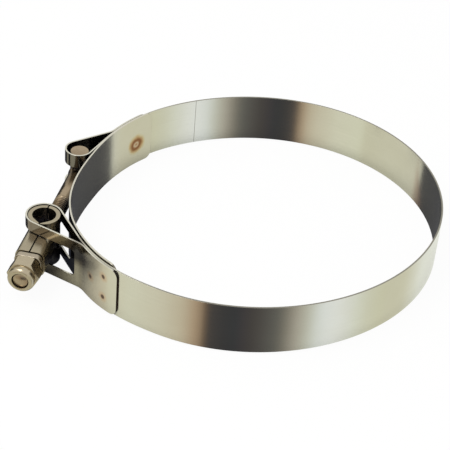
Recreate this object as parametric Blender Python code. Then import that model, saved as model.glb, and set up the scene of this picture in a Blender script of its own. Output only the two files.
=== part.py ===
"""T-bolt band clamp, as delivered: opened to its full size, with the nut just on the bolt's end.

One strip of spring steel is the ring. Both of its ends are folded back on themselves and spot
welded, which leaves a loop at each end: one holds the cross head of the T-bolt, the other holds
a folded trunnion. The bolt passes through the trunnion's tube, and the lock nut bears on it
through a square washer. A curved bridge, welded inside the T-bolt's end of the ring, closes the gap.

Lengths are in metres. The ring's axis is Z, with z = 0 at the band's lower edge, and the gap
faces -X. Angles turn about the ring's axis, from +X.
"""

import math

import bmesh
import bpy
from mathutils import Matrix, Vector

# Band
BAND_WIDTH = 0.0190
BAND_THICKNESS = 0.0006
RING_RADIUS = 0.06586
OUT_OF_ROUND = 0.0346
LONG_AXIS_ANGLE = math.radians(33.6)

# As delivered, the T-bolt's end of the ring stands a little inside the oval and the other outside
HEAD_END_PULL = 0.0020
HEAD_END_START = math.radians(128)
HEAD_END_SPAN = math.radians(40)
NUT_END_PUSH = 0.0013
NUT_END_START = math.radians(243)
NUT_END_SPAN = math.radians(24)

# The nut's end of the band swings about this axis as the clamp is tightened
CLOSING_AXIS = Vector((-0.001, -0.002))

# Fold-back at each end of the band
FOLD_GAP = 0.0001
FOLD_BEND_RADIUS = 0.0060
FOLD_LAP = 0.0172
FOLD_CORNER = 0.0030
TRUNNION_FOLD_SPREAD = math.radians(17.3)
HEAD_FOLD_SPREAD = math.radians(15.5)

# Windows punched in the band, where the bolt and the trunnion's tube pass through the loops
WINDOW_CORNER = 0.0015
TUBE_WINDOW_MARGIN = 0.0004
TUBE_WINDOW_OUTER_LEG = 0.0175
TUBE_WINDOW_INNER_LEG = 0.0100
SHANK_WINDOW_MARGIN = 0.00125
SHANK_WINDOW_OUTER_LEG = 0.0060
SHANK_WINDOW_INNER_LEG = 0.0030

# Spot welds that hold each fold-back
WELD_RADIUS = 0.0014
WELD_PAIR_FROM_END = 0.0062
WELD_PAIR_SPACING = 0.0086
WELD_SINGLE_FROM_END = 0.0131

# Loop round the T-bolt's head
HEAD_LOOP_ANGLE = math.radians(164.75)
HEAD_LOOP_RISE = 0.0001
HEAD_SLACK = 0.0008
HEAD_SLACK_TURN = math.radians(35)

# T-bolt, M6 x 70
BOLT_LENGTH = 0.0700
BOLT_RADIUS = 0.00295
BOLT_TILT = math.radians(9.4)
BOLT_END_CHAMFER = 0.0005
HEAD_RADIUS = 0.0034
HEAD_INSET = 0.0005
HEAD_CHAMFER = 0.0004
NECK_FLARE = 0.00045
NECK_BLEND = 0.0017

# Trunnion, folded from one sheet
TRUNNION_RADIUS = 0.00555
TRUNNION_INSET = 0.0003
TRUNNION_WALL = 0.0014
TRUNNION_POINT = 0.0012
TRUNNION_SEAM = 0.00035
SEAM_END = 0.0003
TUBE_LENGTH = 0.0160
TUBE_WIDTH = 0.0104
TUBE_HEIGHT = 0.0100
TUBE_BEND = 0.0013

# Square washer and lock nut
WASHER_WIDTH = 0.0094
WASHER_CORNER = 0.0022
WASHER_THICKNESS = 0.0022
NUT_FLATS = 0.0100
NUT_HEX_LENGTH = 0.0050
NUT_COLLAR_LENGTH = 0.0026
NUT_COLLAR_STEP = 0.0004
NUT_CHAMFER = 0.0006
NUT_LEAD_IN = 0.0003

# How far the nut still stands beyond the bolt's end, as delivered
NUT_PROUD = 0.0018

# Bridge under the gap
BRIDGE_THICKNESS = 0.0006
BRIDGE_OVERHANG = 0.0007
BRIDGE_CORNER = 0.0030
BRIDGE_START = math.radians(132.4)
BRIDGE_TUCK = 0.0220
BRIDGE_CROSS_START = math.radians(166)
BRIDGE_CROSS_SPAN = math.radians(39)

# Clearances between pieces: where one seats on another, and where the bolt runs in a hole
SEAT = 0.0003
BOLT_CLEARANCE = 0.0003

# Fineness of the curves
RING_STEP = math.radians(3)
BEND_STEP = math.radians(12)
CORNER_STEPS = 4
ROUND_SIDES = 32
WELD_SIDES = 10
SMOOTH_ANGLE = math.radians(35)

# Worked out from the sizes above
MID_HEIGHT = BAND_WIDTH / 2
HEAD_LOOP_BORE = HEAD_RADIUS + SEAT + HEAD_SLACK
TRUNNION_LOOP_BORE = TRUNNION_RADIUS + SEAT
HEAD_LENGTH = BAND_WIDTH - 2 * HEAD_INSET
TRUNNION_HEIGHT = BAND_WIDTH - 2 * TRUNNION_INSET
TUBE_CORNER = TUBE_BEND + TRUNNION_WALL
NUT_LENGTH = NUT_HEX_LENGTH + NUT_COLLAR_LENGTH
NUT_START = TUBE_LENGTH + SEAT + WASHER_THICKNESS + SEAT
BOLT_REACH = BOLT_LENGTH - HEAD_RADIUS
HEAD_TO_TRUNNION = BOLT_REACH + NUT_PROUD - NUT_START - NUT_LENGTH
BOLT_DIRECTION = Vector((-math.sin(BOLT_TILT), -math.cos(BOLT_TILT)))


def clear_scene():
    for old in list(bpy.data.objects):
        bpy.data.objects.remove(old, do_unlink=True)


def steel(name, colour, roughness):
    """A bare stainless steel finish."""
    material = bpy.data.materials.new(name)
    material.use_nodes = True
    shader = material.node_tree.nodes["Principled BSDF"]
    shader.inputs["Base Color"].default_value = (*colour, 1.0)
    shader.inputs["Roughness"].default_value = roughness
    shader.inputs["Metallic"].default_value = 1.0
    return material


def smooth_step(share):
    share = min(max(share, 0.0), 1.0)
    return share * share * (3 - 2 * share)


def unit(angle):
    return Vector((math.cos(angle), math.sin(angle)))


def left_of(direction):
    return Vector((-direction.y, direction.x))


def turned(vector, angle):
    c, s = math.cos(angle), math.sin(angle)
    return Vector((c * vector.x - s * vector.y, s * vector.x + c * vector.y))


def oval_radius(angle):
    return RING_RADIUS * (1 + OUT_OF_ROUND * math.cos(2 * (angle - LONG_AXIS_ANGLE)))


def head_end_shift(angle):
    return -HEAD_END_PULL * smooth_step((angle - HEAD_END_START) / HEAD_END_SPAN)


def nut_end_shift(angle):
    return NUT_END_PUSH * smooth_step((NUT_END_START - angle) / NUT_END_SPAN)


def band_radius(angle):
    """Radius of the band's outer face."""
    turn = angle % math.tau
    shift = head_end_shift(turn) if turn < math.pi else nut_end_shift(turn)
    return oval_radius(angle) + shift


def bridge_radius(angle):
    """Radius of the bridge's outer face, a seat's clearance inside the band where they lap."""
    share = smooth_step((angle - BRIDGE_CROSS_START) / BRIDGE_CROSS_SPAN)
    shift = head_end_shift(angle) * (1 - share) + nut_end_shift(angle) * share
    return oval_radius(angle) + shift - BAND_THICKNESS - SEAT


def on_curve(radius_at, angle, offset):
    """A point beside the curve, and the curve's outward direction there."""
    step = 1e-4
    ahead = unit(angle + step) * radius_at(angle + step)
    behind = unit(angle - step) * radius_at(angle - step)
    outward = -left_of((ahead - behind).normalized())
    return unit(angle) * radius_at(angle) + outward * offset, outward


def band_middle(angle, layer=0.0):
    """The middle of the band's thickness, or of a layer folded back that far outside it."""
    return on_curve(band_radius, angle, layer - BAND_THICKNESS / 2)


def tangent_angle(centre, radius, side):
    """Where a straight leg leaves the ring to touch the side of a loop that faces the ring."""
    near = math.atan2(centre.y, centre.x)
    far = near + side * math.radians(60)
    for _ in range(50):
        middle = (near + far) / 2
        point, outward = band_middle(middle)
        if (centre - point).dot(outward) > radius:
            near = middle
        else:
            far = middle
    return near


def lap_end_angle(start, length, side):
    """The angle that is the given length round the ring from the start."""
    angle, covered = start, 0.0
    point = band_middle(angle)[0]
    step = side * math.radians(0.05)
    while covered < length:
        angle += step
        following = band_middle(angle)[0]
        covered += (following - point).length
        point = following
    return angle


def curve_run(radius_at, offset, start, end):
    """Track points along a curve round the ring: place, and the left of the way of travel."""
    count = max(2, math.ceil(abs(end - start) / RING_STEP))
    sign = -1 if end > start else 1
    run = []
    for k in range(count + 1):
        point, outward = on_curve(radius_at, start + (end - start) * k / count, offset)
        run.append((point, outward * sign))
    return run


def arc_run(centre, start, end, turn):
    """Track points along an arc. turn is 1 to the left and -1 to the right."""
    first = start - centre
    last = end - centre
    sweep = math.atan2(last.y, last.x) - math.atan2(first.y, first.x)
    sweep = turn * ((turn * sweep) % math.tau)
    count = max(2, math.ceil(abs(sweep) / BEND_STEP))
    run = []
    for k in range(count + 1):
        spoke = turned(first, sweep * k / count)
        run.append((centre + spoke, -turn * spoke.normalized()))
    return run


def crossing_line(centre_a, radius_a, turn_a, centre_b, radius_b, turn_b):
    """The ends of the straight run from one bend to the next."""
    between = centre_b - centre_a
    shift = turn_b * radius_b - turn_a * radius_a
    direction = unit(math.atan2(between.y, between.x) - math.asin(shift / between.length))
    side = left_of(direction)
    return centre_a - side * turn_a * radius_a, centre_b - side * turn_b * radius_b


def joined(*runs):
    """One track from runs that follow each other, with the distance along it at each point."""
    track = []
    for run in runs:
        for point, side in run:
            if track and (point - track[-1][0]).length < 1e-7:
                continue
            so_far = track[-1][2] + (point - track[-1][0]).length if track else 0.0
            track.append((point, side, so_far))
    return track


def at_distance(track, distance):
    """Place and left direction at a distance along the track."""
    for (p0, n0, d0), (p1, n1, d1) in zip(track, track[1:]):
        if distance <= d1 + 1e-9:
            share = (distance - d0) / (d1 - d0)
            return p0.lerp(p1, share), n0.lerp(n1, share).normalized()
    return track[-1][0], track[-1][1]


def rounded_inset(distance, corner):
    """How far an edge steps in beside a rounded corner, at a distance from the strip's end."""
    if distance >= corner:
        return 0.0
    return corner - math.sqrt(max(corner ** 2 - (corner - distance) ** 2, 0.0))


def corner_distances(corner):
    return [corner * (1 - math.cos(k * math.pi / 2 / CORNER_STEPS)) for k in range(CORNER_STEPS + 1)]


def strip(name, track, thickness, low, high, corner, windows):
    """Bend a flat blank along the track.

    The blank runs from low to high, has rounded ends, and has one window for each
    (start, end, height) along it.
    """
    length = track[-1][2]
    marks = {round(d, 7) for _, _, d in track}
    for d in corner_distances(corner):
        marks |= {round(d, 7), round(length - d, 7)}
    for start, end, _ in windows:
        for d in corner_distances(WINDOW_CORNER):
            marks |= {round(start + d, 7), round(end - d, 7)}
    stations = []
    for mark in sorted(m for m in marks if 0 <= m <= length):
        if not stations or mark - stations[-1] > 2e-6:
            stations.append(mark)
    stations[-1] = length

    mesh = bmesh.new()
    rows = []
    for d in stations:
        point, side = at_distance(track, d)
        inset = rounded_inset(min(d, length - d), corner)
        bottom, top = low + inset, high - inset
        levels = [bottom, bottom + (top - bottom) / 3, top - (top - bottom) / 3, top]
        for start, end, height in windows:
            if start - 1e-6 <= d <= end + 1e-6:
                half = height / 2 - rounded_inset(max(min(d - start, end - d), 0.0), WINDOW_CORNER)
                levels[1] = (low + high) / 2 - half
                levels[2] = (low + high) / 2 + half
        faces = []
        for hand in (-1, 1):
            spot = point + side * hand * thickness / 2
            faces.append([mesh.verts.new((spot.x, spot.y, z)) for z in levels])
        rows.append(faces)

    def window_over(d0, d1):
        return any(start - 1e-6 <= d0 and d1 <= end + 1e-6 for start, end, _ in windows)

    is_open = [window_over(d0, d1) for d0, d1 in zip(stations, stations[1:])]
    for k, (here, there) in enumerate(zip(rows, rows[1:])):
        bands = (0, 2) if is_open[k] else (0, 1, 2)
        for face in (0, 1):
            for band in bands:
                mesh.faces.new((here[face][band], there[face][band],
                                there[face][band + 1], here[face][band + 1]))
        for level in (0, 1, 2, 3) if is_open[k] else (0, 3):
            mesh.faces.new((here[0][level], there[0][level], there[1][level], here[1][level]))
    before = [True] + is_open
    after = is_open + [True]
    for k, row in enumerate(rows):
        at_end = k in (0, len(rows) - 1)
        for band in (0, 1, 2) if at_end else (1,):
            if at_end or before[k] != after[k]:
                mesh.faces.new((row[0][band], row[0][band + 1], row[1][band + 1], row[1][band]))
    return finished(name, mesh, (0, 0, 0))


def finished(name, mesh, origin):
    """Turn a mesh whose corners are given in world places into an object with this origin."""
    bmesh.ops.recalc_face_normals(mesh, faces=mesh.faces)
    bmesh.ops.translate(mesh, vec=-Vector(origin), verts=mesh.verts)
    data = bpy.data.meshes.new(name)
    mesh.to_mesh(data)
    mesh.free()
    data.shade_smooth()
    data.set_sharp_from_angle(angle=SMOOTH_ANGLE)
    made = bpy.data.objects.new(name, data)
    made.location = origin
    bpy.context.scene.collection.objects.link(made)
    return made


def prism(name, outline, low, high, matrix=None):
    """Extrude a flat outline from low to high along Z, then place it."""
    mesh = bmesh.new()
    base = mesh.faces.new([mesh.verts.new((x, y, low)) for x, y in outline])
    swept = bmesh.ops.extrude_face_region(mesh, geom=[base])["geom"]
    raised = [v for v in swept if isinstance(v, bmesh.types.BMVert)]
    bmesh.ops.translate(mesh, vec=(0, 0, high - low), verts=raised)
    if matrix:
        bmesh.ops.transform(mesh, matrix=matrix, verts=mesh.verts)
    return finished(name, mesh, (0, 0, 0))


def lathe(name, profile, sides, matrix):
    """Turn a closed profile of (radius, height) pairs round Z, then place it."""
    mesh = bmesh.new()
    rings = []
    for radius, height in profile:
        if radius < 1e-9:
            rings.append([mesh.verts.new((0, 0, height))] * sides)
        else:
            rings.append([mesh.verts.new((*(unit(math.tau * k / sides) * radius), height))
                          for k in range(sides)])
    following = rings[1:] if radius < 1e-9 and profile[0][0] < 1e-9 else rings[1:] + rings[:1]
    for here, there in zip(rings, following):
        for k in range(sides):
            nxt = (k + 1) % sides
            corners = [here[k], here[nxt], there[nxt], there[k]]
            mesh.faces.new(list(dict.fromkeys(corners)))
    bmesh.ops.transform(mesh, matrix=matrix, verts=mesh.verts)
    return finished(name, mesh, (0, 0, 0))


def shape_with(target, other, operation):
    """Cut another shape out of the target, or add it, and keep the other one as a guide."""
    change = target.modifiers.new(other.name, "BOOLEAN")
    change.operation = operation
    change.solver = "EXACT"
    change.object = other
    other.parent = target
    other.hide_render = True
    other.display_type = "WIRE"


def circle(radius, sides, start=0.0):
    return [unit(start + math.tau * k / sides) * radius for k in range(sides)]


def rounded_rectangle(width, height, corner):
    """Corner arcs of a rectangle centred on the origin, counter-clockwise."""
    outline = []
    for quadrant in range(4):
        middle = math.radians(45 + 90 * quadrant)
        x = math.copysign(width / 2 - corner, math.cos(middle))
        y = math.copysign(height / 2 - corner, math.sin(middle))
        for k in range(CORNER_STEPS + 1):
            angle = math.radians(90) * (quadrant + k / CORNER_STEPS)
            outline.append(Vector((x, y)) + unit(angle) * corner)
    return outline


def along_bolt(distance):
    """Placing for a shape drawn round Z, so that Z runs down the bolt from its head's axis."""
    return Matrix.Translation((0, -distance, 0)) @ Matrix.Rotation(math.radians(90), 4, "X")


def head_loop_centre():
    angle = HEAD_LOOP_ANGLE
    return unit(angle) * (band_radius(angle) + HEAD_LOOP_BORE + BAND_THICKNESS + HEAD_LOOP_RISE)


def head_axis():
    """The head's axis: it lies against the loop on the side of the bolt and the ring."""
    return head_loop_centre() + turned(BOLT_DIRECTION, HEAD_SLACK_TURN) * HEAD_SLACK


def trunnion_axis():
    return head_axis() + BOLT_DIRECTION * HEAD_TO_TRUNNION


def trunnion_leg_angle():
    """Where the ring runs straight on into the trunnion's loop."""
    return tangent_angle(trunnion_axis(), TRUNNION_LOOP_BORE + BAND_THICKNESS / 2, 1)


def band_track():
    """The blank's middle line, from the trunnion's fold-back round to the T-bolt's."""
    layer = BAND_THICKNESS + FOLD_GAP
    loop_a = trunnion_axis()
    radius_a = TRUNNION_LOOP_BORE + BAND_THICKNESS / 2
    loop_b = head_loop_centre()
    radius_b = HEAD_LOOP_BORE + BAND_THICKNESS / 2

    land_a = math.atan2(loop_a.y, loop_a.x) + TRUNNION_FOLD_SPREAD
    end_a = lap_end_angle(land_a, FOLD_LAP, 1)
    lap_a = curve_run(band_radius, layer - BAND_THICKNESS / 2, end_a, land_a)
    foot_a, outward_a = band_middle(land_a, layer)
    bend_a = foot_a + outward_a * FOLD_BEND_RADIUS
    out_a, in_a = crossing_line(bend_a, FOLD_BEND_RADIUS, 1, loop_a, radius_a, -1)
    leave_a = tangent_angle(loop_a, radius_a, 1)
    root_a, normal_a = band_middle(leave_a)
    back_a = loop_a - normal_a * radius_a

    leave_b = tangent_angle(loop_b, radius_b, -1)
    root_b, normal_b = band_middle(leave_b)
    back_b = loop_b - normal_b * radius_b
    land_b = HEAD_LOOP_ANGLE - HEAD_FOLD_SPREAD
    end_b = lap_end_angle(land_b, FOLD_LAP, -1)
    foot_b, outward_b = band_middle(land_b, layer)
    bend_b = foot_b + outward_b * FOLD_BEND_RADIUS
    out_b, in_b = crossing_line(loop_b, radius_b, -1, bend_b, FOLD_BEND_RADIUS, 1)
    lap_b = curve_run(band_radius, layer - BAND_THICKNESS / 2, land_b, end_b)

    ring = curve_run(band_radius, -BAND_THICKNESS / 2, leave_a, leave_b)
    loop_run_a = arc_run(loop_a, in_a, back_a, -1)
    loop_run_b = arc_run(loop_b, back_b, out_b, -1)
    track = joined(lap_a, arc_run(bend_a, foot_a, out_a, 1), loop_run_a, ring, loop_run_b,
                   arc_run(bend_b, in_b, foot_b, 1), lap_b)

    def reached(point):
        return min(track, key=lambda entry: (entry[0] - point).length)[2]

    windows = [
        (reached(in_a) - TUBE_WINDOW_OUTER_LEG, reached(back_a) + TUBE_WINDOW_INNER_LEG,
         TUBE_HEIGHT + 2 * TUBE_WINDOW_MARGIN),
        (reached(back_b) - SHANK_WINDOW_INNER_LEG, reached(out_b) + SHANK_WINDOW_OUTER_LEG,
         2 * (BOLT_RADIUS + SHANK_WINDOW_MARGIN)),
    ]
    return track, windows


def build_band():
    """The ring, its two folded loops and the spot welds that close them."""
    track, windows = band_track()
    band = strip("band", track, BAND_THICKNESS, 0.0, BAND_WIDTH, FOLD_CORNER, windows)
    length = track[-1][2]
    half_pair = WELD_PAIR_SPACING / 2
    depth = BAND_THICKNESS + FOLD_GAP
    count = 0
    for from_end, rise in ((WELD_PAIR_FROM_END, half_pair), (WELD_PAIR_FROM_END, -half_pair),
                           (WELD_SINGLE_FROM_END, 0.0)):
        for distance in (from_end, length - from_end):
            point, left = at_distance(track, distance)
            inward = Vector((-left.x, -left.y, 0))
            turn = Vector((0, 0, 1)).rotation_difference(inward).to_matrix().to_4x4()
            place = Matrix.Translation((point.x, point.y, MID_HEIGHT + rise)) @ turn
            count += 1
            weld = prism(f"band_weld_{count}", circle(WELD_RADIUS, WELD_SIDES), 0.0, depth, place)
            shape_with(band, weld, "UNION")
    return band


def build_bridge():
    """The curved tongue that spans the gap inside the ring."""
    end = lap_end_angle(trunnion_leg_angle() % math.tau, BRIDGE_TUCK, 1)
    track = joined(curve_run(bridge_radius, -BRIDGE_THICKNESS / 2, BRIDGE_START, end))
    return strip("bridge", track, BRIDGE_THICKNESS, -BRIDGE_OVERHANG, BAND_WIDTH + BRIDGE_OVERHANG,
                 BRIDGE_CORNER, [])


def build_t_bolt():
    """The bolt's shank, turned, on its cross head."""
    half = HEAD_LENGTH / 2
    head_profile = [
        (0, -half), (HEAD_RADIUS - HEAD_CHAMFER, -half), (HEAD_RADIUS, -half + HEAD_CHAMFER),
        (HEAD_RADIUS, half - HEAD_CHAMFER), (HEAD_RADIUS - HEAD_CHAMFER, half), (0, half),
    ]
    bolt = lathe("t_bolt", head_profile, ROUND_SIDES, Matrix.Identity(4))
    neck_start = HEAD_RADIUS - NECK_FLARE
    shank_profile = [(0, 0), (BOLT_RADIUS, 0)]
    for k in range(CORNER_STEPS + 1):
        share = k / CORNER_STEPS
        shank_profile.append((BOLT_RADIUS + NECK_FLARE * (1 - smooth_step(share)),
                              neck_start + (NECK_FLARE + NECK_BLEND) * share))
    shank_profile += [
        (BOLT_RADIUS, BOLT_REACH - BOLT_END_CHAMFER), (BOLT_RADIUS - BOLT_END_CHAMFER, BOLT_REACH),
        (0, BOLT_REACH),
    ]
    shank = lathe("t_bolt_shank", shank_profile, ROUND_SIDES, along_bolt(0))
    shape_with(bolt, shank, "UNION")
    return bolt


def bore_outline():
    """The trunnion's bore: round, and drawn to a point where the sheet turns into the tube."""
    bore = TRUNNION_RADIUS - TRUNNION_WALL
    reach = bore + TRUNNION_POINT
    tangent = math.acos(bore / reach)
    first = -math.pi / 2 + tangent
    sweep = math.tau - 2 * tangent
    outline = [Vector((0, -reach))]
    for k in range(ROUND_SIDES + 1):
        outline.append(unit(first + sweep * k / ROUND_SIDES) * bore)
    return outline


def seam_outline():
    """The open seam seen from the side: the sheet is whole only at the bottom of the tube."""
    beyond = TRUNNION_HEIGHT / 2 + TRUNNION_WALL
    back = 2 * TRUNNION_RADIUS
    front = -TUBE_LENGTH - TRUNNION_WALL
    below = -TUBE_HEIGHT / 2 - SEAM_END
    return [(front, 0.0), (0.0, 0.0), (0.0, below), (-back, below), (-back, -beyond),
            (back, -beyond), (back, beyond), (front, beyond)]


def build_trunnion():
    """A rolled cylinder whose sheet runs on forwards as the tube round the bolt."""
    half = TRUNNION_HEIGHT / 2
    half_side = math.pi / ROUND_SIDES
    body = prism("trunnion", circle(TRUNNION_RADIUS, ROUND_SIDES, half_side), -half, half)
    outer = prism("trunnion_tube", rounded_rectangle(TUBE_WIDTH, TUBE_HEIGHT, TUBE_CORNER),
                  0.0, TUBE_LENGTH, along_bolt(0))
    shape_with(body, outer, "UNION")
    bore = prism("trunnion_bore", bore_outline(), -half - TRUNNION_WALL, half + TRUNNION_WALL)
    shape_with(body, bore, "DIFFERENCE")
    inner = prism("trunnion_tube_bore",
                  rounded_rectangle(TUBE_WIDTH - 2 * TRUNNION_WALL, TUBE_HEIGHT - 2 * TRUNNION_WALL,
                                    TUBE_BEND),
                  0.0, TUBE_LENGTH + TRUNNION_WALL, along_bolt(0))
    shape_with(body, inner, "DIFFERENCE")
    hole = prism("trunnion_bolt_hole", circle(BOLT_RADIUS + BOLT_CLEARANCE, ROUND_SIDES, half_side),
                 -2 * TRUNNION_RADIUS, 0.0, along_bolt(0))
    shape_with(body, hole, "DIFFERENCE")
    seam = prism("trunnion_seam", seam_outline(), -TRUNNION_SEAM / 2, TRUNNION_SEAM / 2,
                 Matrix.Rotation(math.radians(90), 4, "Y") @ Matrix.Rotation(math.radians(90), 4, "Z"))
    shape_with(body, seam, "DIFFERENCE")
    return body


def build_washer():
    """A thick square washer with rounded corners."""
    outline = rounded_rectangle(WASHER_WIDTH, WASHER_WIDTH, WASHER_CORNER)
    washer = prism("square_washer", outline, 0.0, WASHER_THICKNESS, along_bolt(0))
    hole = prism("square_washer_hole", circle(BOLT_RADIUS + BOLT_CLEARANCE, ROUND_SIDES),
                 -WASHER_THICKNESS, 2 * WASHER_THICKNESS, along_bolt(0))
    shape_with(washer, hole, "DIFFERENCE")
    return washer


def build_lock_nut():
    """A hexagon with chamfered corners and a round locking collar."""
    across_corners = NUT_FLATS / math.cos(math.radians(30))
    collar = NUT_FLATS / 2 - NUT_COLLAR_STEP
    bore = BOLT_RADIUS + BOLT_CLEARANCE
    nut = prism("lock_nut", circle(across_corners / 2, 6), 0.0, NUT_LENGTH, along_bolt(0))
    wide = across_corners - NUT_FLATS / 2
    profile = [
        (bore + NUT_LEAD_IN, 0), (NUT_FLATS / 2, 0), (wide, 2 * NUT_CHAMFER),
        (wide, NUT_HEX_LENGTH - 2 * NUT_CHAMFER), (NUT_FLATS / 2, NUT_HEX_LENGTH),
        (collar, NUT_HEX_LENGTH), (collar, NUT_LENGTH - NUT_CHAMFER),
        (collar - NUT_CHAMFER, NUT_LENGTH), (bore, NUT_LENGTH), (bore, NUT_LEAD_IN),
    ]
    half_side = Matrix.Rotation(math.pi / ROUND_SIDES, 4, "Z")
    shell = lathe("lock_nut_form", profile, ROUND_SIDES, along_bolt(0) @ half_side)
    shape_with(nut, shell, "INTERSECT")
    return nut


def main():
    clear_scene()
    band = build_band()
    bridge = build_bridge()
    bolt = build_t_bolt()
    trunnion = build_trunnion()
    washer = build_washer()
    nut = build_lock_nut()

    closing_axis = bpy.data.objects.new("band_closing_axis", None)
    bpy.context.collection.objects.link(closing_axis)
    closing_axis.location = (CLOSING_AXIS.x, CLOSING_AXIS.y, 0)
    closing_axis.rotation_euler.z = -BOLT_TILT
    trunnion.parent = closing_axis
    start = turned(trunnion_axis() - CLOSING_AXIS, BOLT_TILT)
    trunnion.location = (start.x, start.y, MID_HEIGHT)
    bolt.parent = trunnion
    bolt.location = (0, HEAD_TO_TRUNNION, 0)
    washer.parent = trunnion
    washer.location = (0, -TUBE_LENGTH - SEAT, 0)
    nut.parent = trunnion
    nut.location = (0, -NUT_START, 0)

    finishes = (
        (band, "polished_band_steel", (0.66, 0.64, 0.58), 0.18),
        (bridge, "bridge_steel", (0.62, 0.60, 0.55), 0.22),
        (bolt, "rolled_bolt_steel", (0.55, 0.52, 0.47), 0.34),
        (trunnion, "folded_trunnion_steel", (0.60, 0.57, 0.50), 0.28),
        (washer, "washer_steel", (0.63, 0.59, 0.53), 0.32),
        (nut, "nut_steel", (0.60, 0.55, 0.46), 0.34),
    )
    for piece, name, colour, roughness in finishes:
        piece.data.materials.append(steel(name, colour, roughness))


main()
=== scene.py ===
"""T-bolt band clamp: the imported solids' finer stand-ins, their steels, the studio and the camera.

Lengths are in metres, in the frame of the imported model: the ring's axis is Z, z = 0 is the
band's lower edge, and the gap faces -X. Angles turn about the ring's axis, from +X. Shapes repeat
the source's sizes, with finer curves, rounded edges, a cut thread and the marks of the spot welds.
"""

import math

import bmesh
import bpy
from mathutils import Matrix, Vector


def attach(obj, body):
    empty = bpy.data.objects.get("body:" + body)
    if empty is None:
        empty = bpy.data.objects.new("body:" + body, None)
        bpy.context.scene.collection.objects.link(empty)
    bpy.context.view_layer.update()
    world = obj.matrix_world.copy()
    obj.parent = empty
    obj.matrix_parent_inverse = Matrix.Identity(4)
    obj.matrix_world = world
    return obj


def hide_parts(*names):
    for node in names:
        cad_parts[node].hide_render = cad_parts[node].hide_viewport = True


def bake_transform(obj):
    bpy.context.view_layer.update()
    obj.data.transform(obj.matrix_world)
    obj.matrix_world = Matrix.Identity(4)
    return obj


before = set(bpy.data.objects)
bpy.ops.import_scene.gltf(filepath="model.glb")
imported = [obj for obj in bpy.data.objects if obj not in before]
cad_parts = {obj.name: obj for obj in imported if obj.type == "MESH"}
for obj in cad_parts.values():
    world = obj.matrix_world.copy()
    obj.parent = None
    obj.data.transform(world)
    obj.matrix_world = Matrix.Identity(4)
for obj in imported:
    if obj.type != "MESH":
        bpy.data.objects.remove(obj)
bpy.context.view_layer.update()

# Sizes of the source
BAND_WIDTH = 0.0190
BAND_THICKNESS = 0.0006
RING_RADIUS = 0.06586
OUT_OF_ROUND = 0.0346
LONG_AXIS_ANGLE = math.radians(33.6)
HEAD_END_PULL = 0.0020
HEAD_END_START = math.radians(128)
HEAD_END_SPAN = math.radians(40)
NUT_END_PUSH = 0.0013
NUT_END_START = math.radians(243)
NUT_END_SPAN = math.radians(24)
FOLD_GAP = 0.0001
FOLD_BEND_RADIUS = 0.0060
FOLD_LAP = 0.0172
FOLD_CORNER = 0.0030
TRUNNION_FOLD_SPREAD = math.radians(17.3)
HEAD_FOLD_SPREAD = math.radians(15.5)
WINDOW_CORNER = 0.0015
TUBE_WINDOW_MARGIN = 0.0004
TUBE_WINDOW_OUTER_LEG = 0.0175
TUBE_WINDOW_INNER_LEG = 0.0100
SHANK_WINDOW_MARGIN = 0.00125
SHANK_WINDOW_OUTER_LEG = 0.0060
SHANK_WINDOW_INNER_LEG = 0.0030
WELD_PAIR_FROM_END = 0.0062
WELD_PAIR_SPACING = 0.0086
WELD_SINGLE_FROM_END = 0.0131
HEAD_LOOP_ANGLE = math.radians(164.75)
HEAD_LOOP_RISE = 0.0001
HEAD_SLACK = 0.0008
HEAD_SLACK_TURN = math.radians(35)
BOLT_LENGTH = 0.0700
BOLT_RADIUS = 0.00295
BOLT_TILT = math.radians(9.4)
BOLT_END_CHAMFER = 0.0005
HEAD_RADIUS = 0.0034
HEAD_INSET = 0.0005
NECK_FLARE = 0.00045
NECK_BLEND = 0.0017
TRUNNION_RADIUS = 0.00555
TRUNNION_INSET = 0.0003
TRUNNION_WALL = 0.0014
TRUNNION_POINT = 0.0012
SEAM_END = 0.0003
TUBE_LENGTH = 0.0160
TUBE_WIDTH = 0.0104
TUBE_HEIGHT = 0.0100
TUBE_BEND = 0.0013
WASHER_WIDTH = 0.0094
WASHER_CORNER = 0.0022
WASHER_THICKNESS = 0.0022
NUT_FLATS = 0.0100
NUT_HEX_LENGTH = 0.0050
NUT_COLLAR_LENGTH = 0.0026
NUT_COLLAR_STEP = 0.0004
NUT_CHAMFER = 0.0006
NUT_LEAD_IN = 0.0003
NUT_PROUD = 0.0018
BRIDGE_THICKNESS = 0.0006
BRIDGE_OVERHANG = 0.0007
BRIDGE_CORNER = 0.0030
BRIDGE_START = math.radians(132.4)
BRIDGE_TUCK = 0.0220
BRIDGE_CROSS_START = math.radians(166)
BRIDGE_CROSS_SPAN = math.radians(39)
SEAT = 0.0003
BOLT_CLEARANCE = 0.0003

# Finer curves and edges than the source's
RING_STEP = math.radians(0.75)
BEND_STEP = math.radians(5)
CORNER_STEPS = 8
ROUND_SIDES = 96
SMOOTH_ANGLE = math.radians(30)
SHEET_EDGE = 0.00012
FORGED_EDGE = 0.00035
PUNCHED_EDGE = 0.00022
NUT_EDGE = 0.00026
BOLT_END_EDGE = 0.00012
FLAT_FACE_WEIGHT = 50
FLAT_FACE_THRESHOLD = 0.01
HEAD_EDGE_STEPS = 4
THREAD_SHARP_ANGLE = math.radians(50)

# Small steps and tolerances of the construction
DIRECTION_STEP = 1e-4
LEG_SEARCH = math.radians(60)
LEG_SEARCH_ROUNDS = 50
LAP_SEARCH_STEP = math.radians(0.05)
SAME_POINT = 1e-7
SAME_DISTANCE = 1e-9
SAME_STATION = 4e-6
AT_WINDOW = 1e-6
SAME_RADIUS = 1e-5
ON_AXIS = 1e-9

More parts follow.
